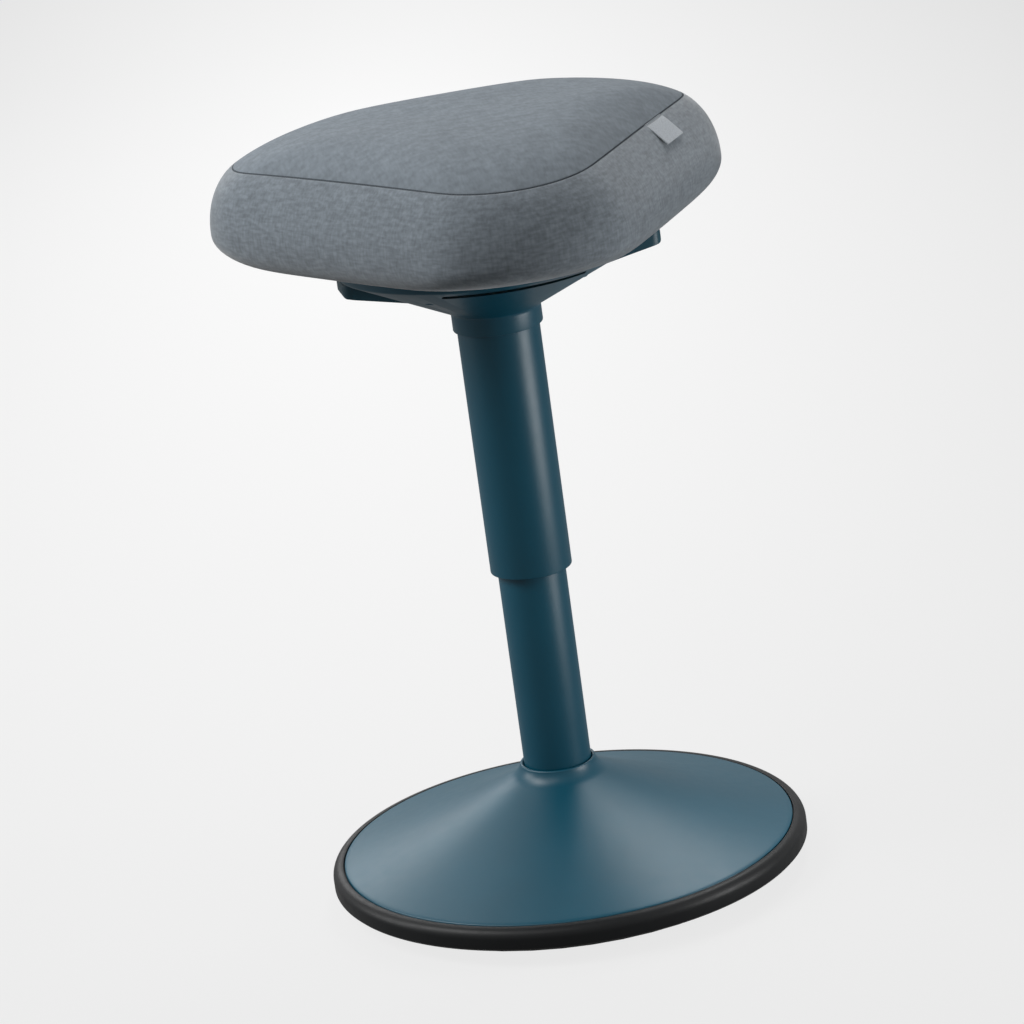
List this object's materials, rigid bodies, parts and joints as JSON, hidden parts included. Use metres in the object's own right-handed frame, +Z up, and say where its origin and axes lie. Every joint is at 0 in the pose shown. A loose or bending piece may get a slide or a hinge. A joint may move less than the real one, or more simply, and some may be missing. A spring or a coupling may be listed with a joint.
{
  "type": "perch stool",
  "caption": "Perch stool: a padded three-cornered seat on a telescoping gas lift, with two release paddles under it and a heavy domed rocking foot edged in rubber.",
  "frame": {"origin": "on the floor, at the middle of the flat of the sole, under the column's axis", "axes": "+Z up along the column; the seat's single corner points along -Y, its long straight edge faces +Y, and the paddles lie along +X and -X"},
  "size_m": [0.3766, 0.3646, 0.5829],
  "materials": {
    "coat": "satin dark petrol powder coat",
    "paddle": "satin, coloured as the metal",
    "rubber": "matt black",
    "steel": "zinc plated",
    "iron": "rough cast",
    "polymer": "natural acetal",
    "plywood": "plain birch ply",
    "foam": "open-cell seat foam",
    "seat_fabric": "fine melange weave in slate grey",
    "tag_fabric": "woven tape"
  },
  "bodies": {
    "base": {"rocker_sole": "rubber", "rim_ring": "rubber", "base_dome": "coat", "base_plate": "steel", "ballast_ring": "iron", "hub_socket": "steel", "sole_screw_1": "steel", "sole_screw_2": "steel", "sole_screw_3": "steel", "sole_screw_4": "steel", "stand_tube": "coat", "guide_bush": "polymer", "lower_race": "steel", "ball_cage": "polymer", "bearing_ball_1": "steel", "bearing_ball_2": "steel", "bearing_ball_3": "steel", "bearing_ball_4": "steel", "bearing_ball_5": "steel", "bearing_ball_6": "steel"},
    "gas_rod": {"upper_race": "steel", "piston_rod": "steel", "retaining_clip": "steel", "rod_bumper": "rubber", "lift_piston": "steel"},
    "seat": {"gas_cylinder": "steel", "rod_gland": "polymer", "cover_sleeve": "coat", "sleeve_glide": "polymer", "head_housing": "coat", "mounting_plate": "steel", "housing_screw_1": "steel", "housing_screw_2": "steel", "housing_screw_3": "steel", "housing_screw_4": "steel", "left_paddle_pin": "steel", "right_paddle_pin": "steel", "cover_side_band": "seat_fabric", "cover_top_panel": "seat_fabric", "seat_foam": "foam", "seat_pan": "plywood", "seat_screw_1": "steel", "seat_screw_2": "steel", "seat_screw_3": "steel", "seat_screw_4": "steel", "t_nut_1": "steel", "t_nut_2": "steel", "t_nut_3": "steel", "t_nut_4": "steel", "seam_tag": "tag_fabric"},
    "left_paddle": {"left_paddle": "paddle"},
    "right_paddle": {"right_paddle": "paddle"},
    "release": {"valve_pin": "steel", "release_cap": "polymer"}
  },
  "joints": [
    {"name": "seat_swivel", "type": "hinge", "parent": "base", "child": "gas_rod", "pos_m": [0, 0, 0.03], "axis": [0, 0, 1], "continuous": true},
    {"name": "height_slide", "type": "slide", "parent": "gas_rod", "child": "seat", "axis": [0, 0, 1], "range_m": [-0.13, 0]},
    {"name": "left_paddle_hinge", "type": "hinge", "parent": "seat", "child": "left_paddle", "pos_m": [-0.037, 0, 0.463], "axis": [0, 1, 0], "range_deg": [0, 5], "stiffness_Nm_per_rad": 1.2, "springref_deg": -8.59},
    {"name": "right_paddle_hinge", "type": "hinge", "parent": "seat", "child": "right_paddle", "pos_m": [0.037, 0, 0.463], "axis": [0, -1, 0], "range_deg": [0, 5], "stiffness_Nm_per_rad": 1.2, "springref_deg": -8.59},
    {"name": "release_press", "type": "slide", "parent": "seat", "child": "release", "axis": [0, 0, -1], "range_m": [0, 0.0032]}
  ],
  "couplings": [
    {"joint": "right_paddle_hinge", "follows": "left_paddle_hinge", "ratio": 1},
    {"joint": "release_press", "follows": "left_paddle_hinge", "m_per_rad": 0.035}
  ]
}
